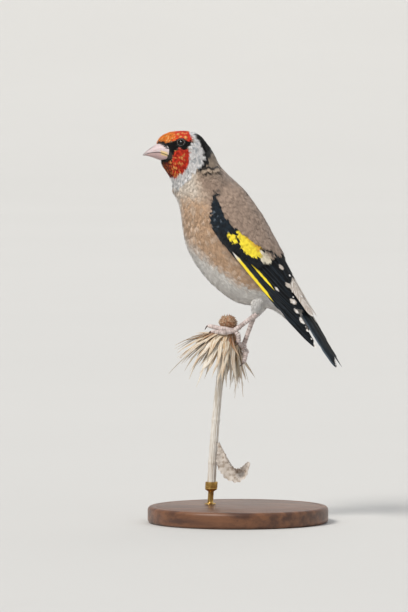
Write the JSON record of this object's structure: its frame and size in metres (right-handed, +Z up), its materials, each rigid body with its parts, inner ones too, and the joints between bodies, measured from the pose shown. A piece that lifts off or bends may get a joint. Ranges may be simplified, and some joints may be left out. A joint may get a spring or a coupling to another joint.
{
  "type": "european goldfinch",
  "caption": "Small upright songbird with a red face, black and yellow wings and a conical bill, gripping a dry thistle head on a plain round stand.",
  "frame": {"origin": "centre of the stand's flat underside, on the floor", "axes": "+Z up; -X the way the bird's body faces; -Y the bird's left side"},
  "size_m": [0.0843, 0.076, 0.1647],
  "materials": {
    "face_feathers": "red, black and white feathers",
    "neck_feathers": "white and grey-brown feathers",
    "body_feathers": "soft brown and pale grey feathers",
    "wing_feathers": "black flight feathers with yellow and white",
    "tail_feathers": "black feathers with pale tips",
    "thigh_feathers": "pale down",
    "bill_horn": "satin horn",
    "eye": "wet black",
    "leg_skin": "scaled skin",
    "claw_horn": "satin horn",
    "dry_bracts": "dry, fibrous",
    "dry_stem": "dry, ribbed",
    "dry_leaf": "dry, crumpled",
    "stand_wood": "satin varnish",
    "stand_brass": "satin"
  },
  "bodies": {
    "root": {"head": "face_feathers", "neck": "neck_feathers", "torso": "body_feathers", "bill_upper": "bill_horn", "bill_lower": "bill_horn", "eye_left": "eye", "eye_right": "eye", "wing_left": "wing_feathers", "wing_right": "wing_feathers", "tail": "tail_feathers", "thigh_left": "thigh_feathers", "thigh_right": "thigh_feathers", "leg_left": "leg_skin", "leg_right": "leg_skin", "claw_left_1": "claw_horn", "claw_left_2": "claw_horn", "claw_left_3": "claw_horn", "claw_left_4": "claw_horn", "claw_right_1": "claw_horn", "claw_right_2": "claw_horn", "claw_right_3": "claw_horn", "claw_right_4": "claw_horn", "perch_thistle": "dry_bracts", "perch_stem": "dry_stem", "perch_leaf": "dry_leaf", "stand_base": "stand_wood", "stand_rod": "stand_brass"}
  },
  "joints": []
}
